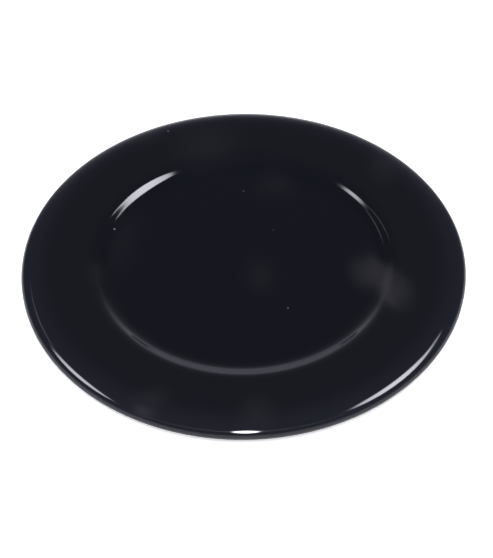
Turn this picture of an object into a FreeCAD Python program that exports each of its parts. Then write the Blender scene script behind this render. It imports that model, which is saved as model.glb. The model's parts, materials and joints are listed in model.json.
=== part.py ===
import FreeCAD, Part
import Sketcher
import math
import os

# Gas burner cap, pressed from one enamelled steel sheet of even thickness. The middle is pressed
# down, which makes a shallow recess above and a locating boss below, and the rim is turned down
# and ends in a round edge with a narrow level foot. +Z is up on the axis of the round, and the
# boss stands on z = 0.

# Driving sizes in millimetres, and the rim's turn in degrees
driving_sizes = {
    "cap_diameter": 94.0,         # across the round edge
    "sheet_thickness": 2.8,       # steel with the enamel on both faces
    "ring_width": 13.0,           # flat ring and rim, from the edge to where the recess begins to fall
    "recess_depth": 2.0,          # from the flat ring down to the floor
    "slope_length": 0.6,          # straight run of the step between its two bends
    "crest_inside_radius": 2.6,   # bend at the top of the step, inside face is underneath
    "foot_inside_radius": 6.6,    # bend at the foot of the step, inside face is above
    "rim_inside_radius": 4.6,     # bend that turns the rim down, inside face is underneath
    "rim_angle": 28.0,            # how far the rim is turned down from level
}

document = FreeCAD.newDocument("burner_cap")
sizes = document.addObject("Spreadsheet::Sheet", "Sizes")
for row, (name, size) in enumerate(driving_sizes.items(), start=1):
    sizes.set(f"A{row}", name.replace("_", " "))
    sizes.set(f"B{row}", str(size))
    sizes.setAlias(f"B{row}", name)
document.recompute()

body = document.addObject("PartDesign::Body", "BurnerCap")
body.Label = "burner_cap"
section = body.newObject("Sketcher::SketchObject", "PressedSection")
upright_plane = next(plane for plane in body.Origin.OriginFeatures if plane.Role == "XZ_Plane")
section.AttachmentSupport = [(upright_plane, "")]
section.MapMode = "FlatFace"


def at(radius, height):
    return FreeCAD.Vector(radius, height, 0)


def around(centre, radius, turn):
    return centre + at(radius * math.cos(turn), radius * math.sin(turn))


def draw_line(first, last):
    return section.addGeometry(Part.LineSegment(first, last))


def draw_arc(centre, radius, first_turn, last_turn):
    circle = Part.Circle(centre, FreeCAD.Vector(0, 0, 1), radius)
    return section.addGeometry(Part.ArcOfCircle(circle, first_turn, last_turn))


# The half section as it is first drawn. The outside radius of each bend is its inside radius
# plus the sheet, and the two bends and the straight run of the step add up to the recess depth.
thickness = sizes.sheet_thickness
floor_level = thickness
ring_level = floor_level + sizes.recess_depth
crest_radius = sizes.crest_inside_radius + thickness
foot_radius = sizes.foot_inside_radius
rim_radius = sizes.rim_inside_radius + thickness
bends = crest_radius + foot_radius
slope = math.atan2(bends, sizes.slope_length) + math.asin(
    (sizes.recess_depth - bends) / math.hypot(bends, sizes.slope_length)
)
down = -math.pi / 2
up = math.pi / 2
rim_end = up - math.radians(sizes.rim_angle)
step_width = bends * math.sin(slope) + sizes.slope_length * math.cos(slope)

crest_centre = at(sizes.cap_diameter / 2 - sizes.ring_width, ring_level - crest_radius)
foot_centre = at(crest_centre.x - step_width, floor_level + foot_radius)
edge_middle = sizes.cap_diameter / 2 - thickness / 2
rim_middle_radius = rim_radius - thickness / 2
rim_centre = at(edge_middle - rim_middle_radius * math.cos(rim_end), ring_level - rim_radius)

axis = draw_line(at(0, 0), at(0, floor_level))
floor_top = draw_line(at(0, floor_level), at(foot_centre.x, floor_level))
foot_top = draw_arc(foot_centre, foot_radius, down, down + slope)
slope_top = draw_line(
    around(foot_centre, foot_radius, down + slope), around(crest_centre, crest_radius, up + slope)
)
crest_top = draw_arc(crest_centre, crest_radius, up, up + slope)
ring_top = draw_line(at(crest_centre.x, ring_level), at(rim_centre.x, ring_level))
rim_top = draw_arc(rim_centre, rim_radius, rim_end, up)
edge_centre = around(rim_centre, rim_middle_radius, rim_end)
edge = draw_arc(edge_centre, thickness / 2, -rim_end, rim_end)
edge_foot = draw_line(
    around(edge_centre, thickness / 2, -rim_end), around(rim_centre, rim_radius - thickness, rim_end)
)
rim_under = draw_arc(rim_centre, rim_radius - thickness, rim_end, up)
ring_under = draw_line(at(rim_centre.x, sizes.recess_depth), at(crest_centre.x, sizes.recess_depth))
crest_under = draw_arc(crest_centre, crest_radius - thickness, up, up + slope)
slope_under = draw_line(
    around(crest_centre, crest_radius - thickness, up + slope),
    around(foot_centre, foot_radius + thickness, down + slope),
)
foot_under = draw_arc(foot_centre, foot_radius + thickness, down, down + slope)
floor_under = draw_line(at(foot_centre.x, 0), at(0, 0))

# Ends of a line or an arc, and the middle of an arc, as the sketch numbers them
begin, end, middle = range(1, 4)
origin = -1

# Every run meets the next one smoothly
smooth_joints = [
    (floor_top, end, foot_top, begin),
    (foot_top, end, slope_top, begin),
    (slope_top, end, crest_top, end),
    (crest_top, begin, ring_top, begin),
    (ring_top, end, rim_top, end),
    (rim_top, begin, edge, end),
    (rim_under, end, ring_under, begin),
    (ring_under, end, crest_under, begin),
    (crest_under, end, slope_under, begin),
    (slope_under, end, foot_under, end),
    (foot_under, begin, floor_under, begin),
]
for joint in smooth_joints:
    section.addConstraint(Sketcher.Constraint("Tangent", *joint))

# The section closes on the axis and at the edge's foot, and both faces of a bend share one centre
shared_points = [
    (origin, begin, axis, begin),
    (floor_under, end, axis, begin),
    (axis, end, floor_top, begin),
    (edge, begin, edge_foot, begin),
    (edge_foot, end, rim_under, begin),
    (foot_top, middle, foot_under, middle),
    (crest_top, middle, crest_under, middle),
    (rim_top, middle, rim_under, middle),
]
for pair in shared_points:
    section.addConstraint(Sketcher.Constraint("Coincident", *pair))

section.addConstraint(Sketcher.Constraint("Vertical", axis))
for level_run in (floor_top, ring_top, edge_foot, ring_under, floor_under):
    section.addConstraint(Sketcher.Constraint("Horizontal", level_run))
section.addConstraint(Sketcher.Constraint("Parallel", slope_top, slope_under))
section.addConstraint(Sketcher.Constraint("Symmetric", rim_top, begin, rim_under, begin, edge, middle))


def bind(name, formula, kind, *places):
    index = section.addConstraint(Sketcher.Constraint(kind, *places))
    section.renameConstraint(index, name)
    section.setExpression(f"Constraints.{name}", formula)


bind("sheet", "Sizes.sheet_thickness", "Distance", axis, thickness)
bind("depth", "Sizes.recess_depth", "DistanceY", floor_top, end, ring_top, begin, sizes.recess_depth)
bind("straight", "Sizes.slope_length", "Distance", slope_top, sizes.slope_length)
bind("crest", "Sizes.crest_inside_radius", "Radius", crest_under, sizes.crest_inside_radius)
bind("foot", "Sizes.foot_inside_radius", "Radius", foot_top, sizes.foot_inside_radius)
bind("rim", "Sizes.rim_inside_radius", "Radius", rim_under, sizes.rim_inside_radius)
bind("turn", "Sizes.rim_angle", "Angle", rim_top, math.radians(sizes.rim_angle))
bind("recess", "Sizes.cap_diameter / 2 - Sizes.ring_width", "DistanceX", origin, begin, crest_top, middle,
     crest_centre.x)
bind("reach", "(Sizes.cap_diameter - Sizes.sheet_thickness) / 2", "DistanceX", origin, begin, edge, middle,
     edge_middle)

pressing = body.newObject("PartDesign::Revolution", "Pressing")
pressing.Profile = section
pressing.ReferenceAxis = (section, ["V_Axis"])
pressing.Angle = 360
document.recompute()

failed = [item.Label for item in document.Objects if {"Invalid", "Error"} & set(item.State)]
if failed:
    raise RuntimeError("these did not recompute: " + ", ".join(failed))
if not section.FullyConstrained:
    raise RuntimeError("the section is not fully constrained")
if body.Shape.isNull() or not body.Shape.isValid():
    raise RuntimeError("the cap is not a valid solid")

os.makedirs("parts", exist_ok=True)
body.Shape.exportStep(f"parts/{body.Label}.step")
box = body.Shape.optimalBoundingBox()
print(f"{body.Label}: {box.XLength:.2f} x {box.YLength:.2f} x {box.ZLength:.2f} mm, "
      f"{body.Shape.Volume / 1000:.2f} cm3, slope {math.degrees(slope):.1f} degrees")
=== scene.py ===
import bpy
import json
import math
from mathutils import Matrix, Vector


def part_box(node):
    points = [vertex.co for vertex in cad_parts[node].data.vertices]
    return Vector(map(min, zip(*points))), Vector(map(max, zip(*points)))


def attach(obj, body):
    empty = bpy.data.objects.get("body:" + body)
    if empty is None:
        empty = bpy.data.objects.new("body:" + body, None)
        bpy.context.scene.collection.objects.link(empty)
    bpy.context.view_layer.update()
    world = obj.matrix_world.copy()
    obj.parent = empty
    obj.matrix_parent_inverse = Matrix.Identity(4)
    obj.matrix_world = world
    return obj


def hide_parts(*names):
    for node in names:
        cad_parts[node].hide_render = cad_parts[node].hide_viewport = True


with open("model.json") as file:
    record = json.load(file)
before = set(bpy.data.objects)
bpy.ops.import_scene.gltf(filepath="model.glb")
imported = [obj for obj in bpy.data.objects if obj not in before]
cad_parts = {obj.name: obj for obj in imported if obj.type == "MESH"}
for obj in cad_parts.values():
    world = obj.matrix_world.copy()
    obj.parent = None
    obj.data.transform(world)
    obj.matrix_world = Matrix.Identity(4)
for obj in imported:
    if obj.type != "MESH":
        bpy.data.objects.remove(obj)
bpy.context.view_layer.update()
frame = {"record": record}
capLow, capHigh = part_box("burner_cap")
seat = next(mount for mount in frame["record"]["mounts"] if mount["name"] == "crown_seat")
capRadius = min(capHigh.x, capHigh.y, -capLow.x, -capLow.y)
capHeight = capHigh.z - capLow.z
toMm = 1000
print("frame: cap radius", round(capRadius * toMm, 2), "mm, height", round(capHeight * toMm, 2), "mm")


# helpers for node trees

def addNode(tree, kind, **settings):
    node = tree.nodes.new(kind)
    for name, value in settings.items():
        setattr(node, name, value)
    return node


def feed(tree, socket, source):
    # a socket takes either a link or a plain value
    if isinstance(source, bpy.types.NodeSocket):
        tree.links.new(source, socket)
    else:
        socket.default_value = source


def mathNode(tree, operation, *values, clamp=False):
    node = addNode(tree, "ShaderNodeMath", operation=operation, use_clamp=clamp)
    for socket, value in zip(node.inputs, values):
        feed(tree, socket, value)
    return node.outputs[0]


def ramp(tree, value, start, end, first=1.0, last=0.0):
    # first up to start, then smoothly to last at end
    node = addNode(tree, "ShaderNodeMapRange", interpolation_type="SMOOTHSTEP")
    feed(tree, node.inputs["Value"], value)
    node.inputs["From Min"].default_value = start
    node.inputs["From Max"].default_value = end
    node.inputs["To Min"].default_value = first
    node.inputs["To Max"].default_value = last
    return node.outputs["Result"]


def mixColour(tree, factor, first, second):
    node = addNode(tree, "ShaderNodeMix", data_type="RGBA")
    feed(tree, node.inputs["Factor"], factor)
    feed(tree, node.inputs["A"], first)
    feed(tree, node.inputs["B"], second)
    return node.outputs["Result"]


def splitAxes(tree, vector):
    node = addNode(tree, "ShaderNodeSeparateXYZ")
    feed(tree, node.inputs[0], vector)
    return node.outputs


# enamel

enamel = {
    "colour": (0.0071, 0.0079, 0.0110, 1.0),       # blue-black in the recess
    "ringColour": (0.0090, 0.0096, 0.0126, 1.0),   # a little greyer on the ring
    "rimColour": (0.0134, 0.0144, 0.0193, 1.0),    # lighter over the rim: painted glare at the edge
    "ringBlend": (0.028, 0.034),                   # radii between which the ring's colour sets in
    "rimBlend": (0.040, 0.046),                    # and the rim's
    "roughness": 0.05,
    "refraction": 1.5,
    "waves": 0.00055,                              # depth of the slow unevenness, as a share of its size
    "waveSize": 0.006,
    "waveDetail": 1.0,
    "upperFrom": 0.3,                              # least Z of the normal on the upper face
    "film": (0.052, 0.051, 0.056, 1.0),            # skin grease and fine dust
    "filmRoughness": 0.42,
    "smudgeEnd": 1.5,                              # where a smudge fades out, in its own half sizes
    "cloudScale": 260.0,                           # noise that breaks the smudges up
    "cloudDetail": 5.0,
    "cloudRoughness": 0.6,
    "cloudDepth": 0.7,
    "cloudBase": 0.65,                             # share of a smudge that the noise leaves alone
    "dust": (0.24, 0.24, 0.25, 1.0),
    "speckCore": 0.2,                              # share of a speck's radius that is at full strength
    "haze": 0.0535,                                # painted sheen: colour lightened where the surface is seen at a low angle
    # colour of the painted sheen
    "hazeColour": (0.85, 0.88, 1.0, 1.0),
    "hazeBlend": (0.44, 0.71),                     # where the painted sheen sets in and where it is full, 1 being edge on
}

smudges = [
    # place (m), half length and half width (m), turn (degrees), strength
    ((0.0261, -0.0030), (0.0052, 0.0038), 98.0, 0.28),
    ((0.0317, -0.0099), (0.0055, 0.0035), -80.0, 0.29),
    ((0.0290, -0.0063), (0.0091, 0.0020), -79.0, 0.16),
    ((-0.0080, 0.0353), (0.0075, 0.0068), 40.0, 0.09),
    ((0.0071, 0.0239), (0.0045, 0.0044), 0.0, 0.08),
    ((0.0035, -0.0035), (0.0050, 0.0035), 90.0, 0.09),
    ((-0.0188, -0.0385), (0.0042, 0.0029), 26.0, 0.13),
    ((-0.0200, -0.0412), (0.0024, 0.0012), -26.0, 0.25),
    ((0.0023, -0.0418), (0.0042, 0.0037), 69.0, 0.12),
    ((0.0315, 0.0278), (0.0057, 0.0035), 86.0, 0.11),
    ((-0.0257, 0.0070), (0.0100, 0.0033), 84.0, 0.06),
    ((0.0301, -0.0062), (0.0047, 0.0012), 78.0, 0.29),
    ((0.0297, -0.0029), (0.0046, 0.0015), -55.0, 0.13),
    ((0.0299, -0.0124), (0.0024, 0.0010), -62.0, 0.13),
    ((-0.0309, -0.0035), (0.0040, 0.0020), 97.0, 0.10),
    ((-0.0213, 0.0384), (0.0040, 0.0026), 29.0, 0.09),
]

dustSpecks = [
    # place (m), radius (m), strength
    ((-0.02771, 0.01050), 0.00030, 0.75),
    ((-0.01662, 0.03985), 0.00035, 0.35),
    ((0.00021, 0.02215), 0.00026, 0.35),
    ((0.00656, 0.00996), 0.00024, 0.28),
    ((0.00908, -0.01284), 0.00030, 0.45),
]


def flatDistance(tree, place, centre=(0.0, 0.0), halfSizes=(1.0, 1.0), turn=0.0):
    # distance from a mark's centre seen from above, 1 at its own outline
    heightScale = 1e6   # so large that the height drops out
    mapping = addNode(tree, "ShaderNodeMapping", vector_type="TEXTURE")
    feed(tree, mapping.inputs["Vector"], place)
    mapping.inputs["Location"].default_value = (*centre, 0.0)
    mapping.inputs["Rotation"].default_value = (0.0, 0.0, math.radians(turn))
    mapping.inputs["Scale"].default_value = (*halfSizes, heightScale)
    length = addNode(tree, "ShaderNodeVectorMath", operation="LENGTH")
    feed(tree, length.inputs[0], mapping.outputs[0])
    return length.outputs["Value"]


def addMarks(tree, place, marks, start, end):
    # each mark is full up to start and gone at end, both in its own half sizes
    total = 0.0
    for centre, halfSizes, turn, strength in marks:
        mark = ramp(tree, flatDistance(tree, place, centre, halfSizes, turn), start, end)
        total = mathNode(tree, "ADD", total, mathNode(tree, "MULTIPLY", mark, strength))
    return total


def smudgeMask(tree, place):
    # finger marks, broken up by a noise
    cloud = addNode(tree, "ShaderNodeTexNoise")
    feed(tree, cloud.inputs["Vector"], place)
    cloud.inputs["Scale"].default_value = enamel["cloudScale"]
    cloud.inputs["Detail"].default_value = enamel["cloudDetail"]
    cloud.inputs["Roughness"].default_value = enamel["cloudRoughness"]
    broken = mathNode(tree, "MULTIPLY_ADD", cloud.outputs["Fac"], enamel["cloudDepth"], enamel["cloudBase"])
    return mathNode(tree, "MULTIPLY", addMarks(tree, place, smudges, 0.0, enamel["smudgeEnd"]), broken)


def speckMask(tree, place):
    # single round specks of dust
    marks = [(centre, (radius, radius), 0.0, strength) for centre, radius, strength in dustSpecks]
    return addMarks(tree, place, marks, enamel["speckCore"], 1.0)


def firedWaves(tree, place):
    # fired enamel is never quite even
    waves = addNode(tree, "ShaderNodeTexNoise")
    feed(tree, waves.inputs["Vector"], place)
    waves.inputs["Scale"].default_value = 1.0 / enamel["waveSize"]
    waves.inputs["Detail"].default_value = enamel["waveDetail"]
    bump = addNode(tree, "ShaderNodeBump")
    feed(tree, bump.inputs["Height"], waves.outputs["Fac"])
    bump.inputs["Distance"].default_value = enamel["waves"] * enamel["waveSize"]
    return bump.outputs["Normal"]


def makeEnamel():
    mat = bpy.data.materials.new("enamel")
    mat.use_nodes = True
    tree = mat.node_tree
    tree.nodes.clear()
    out = addNode(tree, "ShaderNodeOutputMaterial")
    shader = addNode(tree, "ShaderNodeBsdfPrincipled")
    place = addNode(tree, "ShaderNodeTexCoord").outputs["Object"]

    # only the upper face is handled and gathers dust
    normal = addNode(tree, "ShaderNodeNewGeometry").outputs["Normal"]
    upper = mathNode(tree, "GREATER_THAN", splitAxes(tree, normal)["Z"], enamel["upperFrom"])
    film = mathNode(tree, "MULTIPLY", smudgeMask(tree, place), upper, clamp=True)
    specks = mathNode(tree, "MULTIPLY", speckMask(tree, place), upper, clamp=True)

    # recess and ring differ a little, the rim is lighter with painted glare, and the marks lie over them
    fromAxis = flatDistance(tree, place)
    inRecess = ramp(tree, fromAxis, *enamel["ringBlend"])
    insideRim = ramp(tree, fromAxis, *enamel["rimBlend"])
    colour = mixColour(tree, inRecess, enamel["ringColour"], enamel["colour"])
    # painted glare over the rim
    colour = mixColour(tree, insideRim, enamel["rimColour"], colour)
    colour = mixColour(tree, film, colour, enamel["film"])
    colour = mixColour(tree, specks, colour, enamel["dust"])

    # painted sheen in and round the recess: the colour is lightened towards white where the surface is seen
    # at a low angle
    facing = addNode(tree, "ShaderNodeLayerWeight").outputs["Facing"]
    paintedSheenShare = ramp(tree, facing, *enamel["hazeBlend"], 0.0, enamel["haze"])
    paintedSheenShare = mathNode(tree, "MULTIPLY", mathNode(tree, "MULTIPLY", paintedSheenShare, insideRim), upper)
    colour = mixColour(tree, paintedSheenShare, colour, enamel["hazeColour"])

    roughness = addNode(tree, "ShaderNodeMix", data_type="FLOAT")
    feed(tree, roughness.inputs["Factor"], mathNode(tree, "ADD", film, specks, clamp=True))
    roughness.inputs["A"].default_value = enamel["roughness"]
    roughness.inputs["B"].default_value = enamel["filmRoughness"]

    feed(tree, shader.inputs["Base Color"], colour)
    feed(tree, shader.inputs["Roughness"], roughness.outputs["Result"])
    feed(tree, shader.inputs["Normal"], firedWaves(tree, place))
    shader.inputs["IOR"].default_value = enamel["refraction"]
    feed(tree, out.inputs["Surface"], shader.outputs[0])
    return mat


enamelFinish = makeEnamel()
print("enamel:", len(smudges), "smudges and", len(dustSpecks), "specks of dust")


# cap: one pressed section, turned round the axis

cap = {
    "recessDepth": seat["pos_m"][2],
    "ringWidth": 0.0130,       # from the edge to where the recess begins to fall
    "slopeLength": 0.0006,     # straight run of the step
    "crestInside": 0.0026,     # inside radii of the three bends
    "footInside": 0.0066,
    "rimInside": 0.0046,
    "rimAngle": 28.0,          # degrees down from level
    "guard": 0.00025,          # keeps a flat flat beside a bend
    "bendSteps": 18,
    "roundSteps": 448,
    "weld": 1e-6,              # closes the two poles on the axis
}


def sectionCorners():
    # corners of the sheet's section as (radius, height, bend radius), from the axis out and back underneath
    sheet = capHeight - cap["recessDepth"]
    ringTop, ringUnder = capHeight, cap["recessDepth"]
    crest = cap["crestInside"] + sheet
    foot = cap["footInside"]
    rim = cap["rimInside"] + sheet
    bends = crest + foot
    run = cap["slopeLength"]
    slope = math.atan2(bends, run) + math.asin((cap["recessDepth"] - bends) / math.hypot(bends, run))
    turn = math.radians(cap["rimAngle"])
    crestX = capRadius - cap["ringWidth"]
    footX = crestX - bends * math.sin(slope) - run * math.cos(slope)
    half = sheet / 2
    edgeX = capRadius - half
    rimX = edgeX - (rim - half) * math.sin(turn)
    edgeZ = ringTop - rim + (rim - half) * math.cos(turn)
    footReach = half * math.sin(turn)
    footZ = edgeZ - half * math.cos(turn)
    guard = cap["guard"]

    def bend(centreX, radius, angle, height, outward):
        return (centreX + outward * radius * math.tan(angle / 2), height, radius)

    return [
        (0.0, sheet, 0.0),
        (footX - guard, sheet, 0.0),
        bend(footX, foot, slope, sheet, 1),
        bend(crestX, crest, slope, ringTop, -1),
        (crestX + guard, ringTop, 0.0),
        (rimX - guard, ringTop, 0.0),
        bend(rimX, rim, turn, ringTop, 1),
        (edgeX + half / math.sin(turn), edgeZ, half),   # round edge
        (edgeX + footReach, footZ, 0.0),                # its narrow level foot
        (edgeX + footReach - guard, footZ, 0.0),
        (edgeX - footReach + guard, footZ, 0.0),
        (edgeX - footReach, footZ, 0.0),
        bend(rimX, rim - sheet, turn, ringUnder, 1),
        (rimX - guard, ringUnder, 0.0),
        (crestX + guard, ringUnder, 0.0),
        bend(crestX, crest - sheet, slope, ringUnder, -1),
        bend(footX, foot + sheet, slope, 0.0, 1),
        (footX - guard, 0.0, 0.0),
        (0.0, 0.0, 0.0),
    ]


def makeSection():
    # poly curve in the lathe's own plane: x is measured from the edge, y points down
    curve = bpy.data.curves.new("capSection", "CURVE")
    curve.dimensions = "3D"
    corners = sectionCorners()
    spline = curve.splines.new("POLY")
    spline.points.add(len(corners) - 1)
    for point, (x, z, radius) in zip(spline.points, corners):
        point.co = (x - capRadius, -z, 0.0, 1.0)
        point.radius = radius
    piece = bpy.data.objects.new("capSection", curve)
    bpy.context.scene.collection.objects.link(piece)
    return piece


def makeLathe():
    # bends each corner by its own radius and turns the section round the axis
    tree = bpy.data.node_groups.new("capLathe", "GeometryNodeTree")
    inputs = {
        "Section": "NodeSocketGeometry",
        "Edge Radius": "NodeSocketFloat",
        "Bend Steps": "NodeSocketInt",
        "Round Steps": "NodeSocketInt",
        "Weld": "NodeSocketFloat",
        "Finish": "NodeSocketMaterial",
    }
    for name, kind in inputs.items():
        tree.interface.new_socket(name, in_out="INPUT", socket_type=kind)
    tree.interface.new_socket("Cap", in_out="OUTPUT", socket_type="NodeSocketGeometry")
    source = addNode(tree, "NodeGroupInput")
    out = addNode(tree, "NodeGroupOutput")
    radius = addNode(tree, "GeometryNodeInputRadius")
    rounded = addNode(tree, "GeometryNodeFilletCurve", mode="POLY")
    feed(tree, rounded.inputs["Curve"], source.outputs["Section"])
    feed(tree, rounded.inputs["Count"], source.outputs["Bend Steps"])
    feed(tree, rounded.inputs["Radius"], radius.outputs[0])
    path = addNode(tree, "GeometryNodeCurvePrimitiveCircle", mode="RADIUS")
    feed(tree, path.inputs["Resolution"], source.outputs["Round Steps"])
    feed(tree, path.inputs["Radius"], source.outputs["Edge Radius"])
    turned = addNode(tree, "GeometryNodeCurveToMesh")
    feed(tree, turned.inputs["Curve"], path.outputs["Curve"])
    feed(tree, turned.inputs["Profile Curve"], rounded.outputs["Curve"])
    closed = addNode(tree, "GeometryNodeMergeByDistance")
    feed(tree, closed.inputs["Geometry"], turned.outputs["Mesh"])
    feed(tree, closed.inputs["Distance"], source.outputs["Weld"])
    smooth = addNode(tree, "GeometryNodeSetShadeSmooth")
    feed(tree, smooth.inputs[0], closed.outputs["Geometry"])
    real = addNode(tree, "GeometryNodeRealizeInstances")
    feed(tree, real.inputs[0], smooth.outputs[0])
    finish = addNode(tree, "GeometryNodeSetMaterial")
    feed(tree, finish.inputs["Geometry"], real.outputs[0])
    feed(tree, finish.inputs["Material"], source.outputs["Finish"])
    feed(tree, out.inputs["Cap"], finish.outputs["Geometry"])
    return tree


def makeCap(mat):
    section = makeSection()
    tree = makeLathe()
    lathe = section.modifiers.new("lathe", "NODES")
    lathe.node_group = tree
    values = {
        "Edge Radius": capRadius,
        "Bend Steps": cap["bendSteps"],
        "Round Steps": cap["roundSteps"],
        "Weld": cap["weld"],
        "Finish": mat,
    }
    for item in tree.interface.items_tree:
        if item.in_out == "INPUT" and item.name in values:
            lathe[item.identifier] = values[item.name]
    bpy.context.view_layer.update()
    mesh = bpy.data.meshes.new_from_object(section.evaluated_get(bpy.context.evaluated_depsgraph_get()))
    mesh.name = "burnerCap"
    section.modifiers.remove(lathe)
    bpy.data.objects.remove(section)
    piece = bpy.data.objects.new("burnerCap", mesh)
    bpy.context.scene.collection.objects.link(piece)
    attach(piece, "root")
    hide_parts("burner_cap")
    return piece


capPiece = makeCap(enamelFinish)
print("cap:", len(capPiece.data.vertices), "points,", len(capPiece.data.polygons), "faces")


# floor, light and background

stage = {
    "white": (1.0, 1.0, 1.0, 1.0),
    "floorSize": 3.0,
    "floorColour": (0.9, 0.9, 0.9, 1.0),
    "floorRoughness": 0.9,
    "floorLift": 0.48,                        # extra white on the floor for the camera alone
    "glowColour": (0.94, 0.95, 1.12, 1.0),    # pale surroundings just above the floor
    "glowLevel": 0.57,                        # at the floor's level
    "glowFall": 8.5,                          # degrees of elevation over which it falls to a third
    "glowBehind": 15.0,                       # the same behind the cap, where the room is paler
    "behind": 90.0,                           # azimuth straight behind the cap, in degrees
    "behindBlend": (16.0, 34.0),              # degrees aside from it over which that part ends
    "glowFront": 0.6,                         # share of the glow on the camera's side
    "frontBlend": (-0.3, -0.9),               # Y of a direction, from where to where that share sets in
    "lampDistance": 3.0,
    "lampColour": (0.97, 0.97, 1.06, 1.0),
    "lampMargin": 4.0,                        # how far a panel reaches past its oval, in softnesses
}

lamps = {
    # azimuth, elevation, turn and half sizes in degrees, softness of the oval's outline as a share
    # of its half sizes, share of the light that is lost at the two ends, brightness where white is 1
    "leftBox": {
        "azimuth": 171.5, "elevation": 49.6, "turn": 28.0, "half": (11.5, 4.5),
        "soft": 0.07, "dim": 0.3, "level": 11.8,
    },
    "rightBox": {
        "azimuth": 9.8, "elevation": 56.5, "turn": -36.0, "half": (13.9, 5.0),
        "soft": 0.065, "dim": 0.5, "level": 15.0,
    },
    "frontStrip": {
        "azimuth": 270.0, "elevation": 57.4, "turn": 0.0, "half": (4.0, 15.0),
        "soft": 0.05, "dim": 0.0, "level": 44.0,
    },
    "frontPanel": {
        "azimuth": 270.0, "elevation": 60.0, "turn": 0.0, "half": (36.0, 8.0),
        "soft": 0.14, "dim": 0.0, "level": 0.45,
    },
    "leftTail": {
        "azimuth": 142.4, "elevation": 41.2, "turn": 33.0, "half": (8.5, 1.0),
        "soft": 0.16, "dim": 0.0, "level": 1.3,
    },
    "rightTail": {
        "azimuth": 28.8, "elevation": 47.0, "turn": -36.0, "half": (3.6, 2.2),
        "soft": 0.12, "dim": 0.0, "level": 4.5,
    },
}


def makeFloor():
    half = stage["floorSize"] / 2
    corners = [(-half, -half, 0), (half, -half, 0), (half, half, 0), (-half, half, 0)]
    mesh = bpy.data.meshes.new("floor")
    mesh.from_pydata(corners, [], [(0, 1, 2, 3)])
    floor = bpy.data.objects.new("floor", mesh)
    bpy.context.scene.collection.objects.link(floor)
    mat = bpy.data.materials.new("paleFloor")
    mat.use_nodes = True
    tree = mat.node_tree
    shader = tree.nodes["Principled BSDF"]
    shader.inputs["Base Color"].default_value = stage["floorColour"]
    shader.inputs["Roughness"].default_value = stage["floorRoughness"]
    shader.inputs["Specular IOR Level"].default_value = 0.0
    shader.inputs["Emission Color"].default_value = stage["white"]
    seen = addNode(tree, "ShaderNodeLightPath").outputs["Is Camera Ray"]
    feed(tree, shader.inputs["Emission Strength"], mathNode(tree, "MULTIPLY", seen, stage["floorLift"]))
    mesh.materials.append(mat)


def makeWorld():
    # plain white for the camera, and for the enamel a dim room with a glow that fades upwards
    world = bpy.data.worlds.new("paleRoom")
    bpy.context.scene.world = world
    world.use_nodes = True
    tree = world.node_tree
    tree.nodes.clear()
    out = addNode(tree, "ShaderNodeOutputWorld")
    direction = splitAxes(tree, addNode(tree, "ShaderNodeTexCoord").outputs["Generated"])
    elevation = mathNode(tree, "DEGREES", mathNode(tree, "ARCSINE", direction["Z"]))
    elevation = mathNode(tree, "MAXIMUM", elevation, 0.0)   # no brighter below the horizon
    azimuth = mathNode(tree, "DEGREES", mathNode(tree, "ARCTAN2", direction["Y"], direction["X"]))
    aside = mathNode(tree, "ABSOLUTE", mathNode(tree, "SUBTRACT", azimuth, stage["behind"]))
    reach = ramp(tree, aside, *stage["behindBlend"], -stage["glowBehind"], -stage["glowFall"])
    fall = mathNode(tree, "EXPONENT", mathNode(tree, "DIVIDE", elevation, reach))
    share = ramp(tree, direction["Y"], *stage["frontBlend"], 1.0, stage["glowFront"])
    level = mathNode(tree, "MULTIPLY", share, stage["glowLevel"])
    glow = addNode(tree, "ShaderNodeBackground")
    glow.inputs["Color"].default_value = stage["glowColour"]
    feed(tree, glow.inputs["Strength"], mathNode(tree, "MULTIPLY", fall, level))
    backdrop = addNode(tree, "ShaderNodeBackground")
    backdrop.inputs["Color"].default_value = stage["white"]
    either = addNode(tree, "ShaderNodeMixShader")
    feed(tree, either.inputs["Fac"], addNode(tree, "ShaderNodeLightPath").outputs["Is Camera Ray"])
    feed(tree, either.inputs[1], glow.outputs[0])
    feed(tree, either.inputs[2], backdrop.outputs[0])
    feed(tree, out.inputs["Surface"], either.outputs[0])


def softStep(tree, value, middle, softness):
    # 1 below the middle, 0 above it
    steps = mathNode(tree, "DIVIDE", mathNode(tree, "SUBTRACT", value, middle), softness)
    return mathNode(tree, "DIVIDE", 1.0, mathNode(tree, "ADD", mathNode(tree, "EXPONENT", steps), 1.0))


def ovalLight(tree, lamp, reach):
    # fades across the oval's outline, and dims towards the two ends of its length
    panel = addNode(tree, "ShaderNodeMapping", vector_type="POINT")
    feed(tree, panel.inputs["Vector"], addNode(tree, "ShaderNodeNewGeometry").outputs["Parametric"])
    panel.inputs["Location"].default_value = (-reach, -reach, 0.0)
    panel.inputs["Scale"].default_value = (2 * reach, 2 * reach, 0.0)
    radius = addNode(tree, "ShaderNodeVectorMath", operation="LENGTH")
    feed(tree, radius.inputs[0], panel.outputs[0])
    oval = softStep(tree, radius.outputs["Value"], 1.0, lamp["soft"])
    along = splitAxes(tree, panel.outputs[0])["X"]
    lost = mathNode(tree, "MULTIPLY", mathNode(tree, "MULTIPLY", along, along), lamp["dim"])
    return mathNode(tree, "MULTIPLY", oval, mathNode(tree, "SUBTRACT", 1.0, lost), clamp=True)


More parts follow.
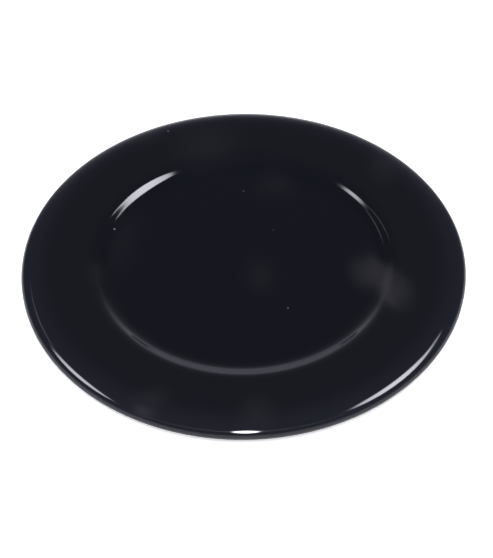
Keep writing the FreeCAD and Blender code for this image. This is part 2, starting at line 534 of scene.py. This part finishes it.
def makeLamp(name, lamp):
    # an oval soft box on a panel that reaches past the oval
    azimuth, elevation, turn = (math.radians(lamp[key]) for key in ("azimuth", "elevation", "turn"))
    outward = Vector((math.cos(azimuth), math.sin(azimuth), 0.0))
    toward = outward * math.cos(elevation) + Vector((0.0, 0.0, math.sin(elevation)))
    side = Vector((-math.sin(azimuth), math.cos(azimuth), 0.0))
    across = side * math.cos(turn) + toward.cross(side) * math.sin(turn)
    along = toward.cross(across)
    reach = 1.0 + stage["lampMargin"] * lamp["soft"]
    distance = stage["lampDistance"]
    light = bpy.data.lights.new(name, "AREA")
    light.shape = "RECTANGLE"
    light.size, light.size_y = (2 * distance * reach * math.tan(math.radians(half)) for half in lamp["half"])
    light.energy = lamp["level"] * math.pi * light.size * light.size_y
    light.use_nodes = True
    tree = light.node_tree
    tree.nodes.clear()
    out = addNode(tree, "ShaderNodeOutputLight")
    emission = addNode(tree, "ShaderNodeEmission")
    emission.inputs["Color"].default_value = stage["lampColour"]
    feed(tree, emission.inputs["Strength"], ovalLight(tree, lamp, reach))
    feed(tree, out.inputs["Surface"], emission.outputs[0])
    box = bpy.data.objects.new(name, light)
    bpy.context.scene.collection.objects.link(box)
    box.location = Vector((0, 0, capHeight)) + toward * distance
    box.rotation_euler = Matrix((across, along, toward)).transposed().to_euler()


makeFloor()
makeWorld()
for name, lamp in lamps.items():
    makeLamp(name, lamp)
print("stage: floor, room and", len(lamps), "lamps")


# camera

view = {
    "imageWidth": 493,           # pixels
    "focalPixels": 1894.0,
    "sensorWidth": 36.0,         # mm
    "clipStart": 0.01,
    "elevation": 46.12,          # degrees
    "distance": 0.4,
    "aim": (0.00057, -0.0063),   # middle of the picture, on the plane of the ring
    "roll": -0.715,              # degrees
}


def makeCamera():
    lens = bpy.data.cameras.new("camera")
    lens.sensor_fit = "HORIZONTAL"
    lens.sensor_width = view["sensorWidth"]
    lens.lens = view["sensorWidth"] * view["focalPixels"] / view["imageWidth"]
    lens.clip_start = view["clipStart"]
    camera = bpy.data.objects.new("camera", lens)
    bpy.context.scene.collection.objects.link(camera)
    tilt = math.radians(view["elevation"])
    middle = Vector((0, 0, capHeight))
    camera.location = middle + view["distance"] * Vector((0, -math.cos(tilt), math.sin(tilt)))
    aim = middle + Vector((*view["aim"], 0))
    look = (aim - camera.location).to_track_quat("-Z", "Y").to_matrix()
    roll = Matrix.Rotation(math.radians(view["roll"]), 3, "Z")
    camera.rotation_euler = (look @ roll).to_euler()
    bpy.context.scene.camera = camera


makeCamera()
bpy.context.scene.view_settings.view_transform = "Standard"
print("camera: placed")
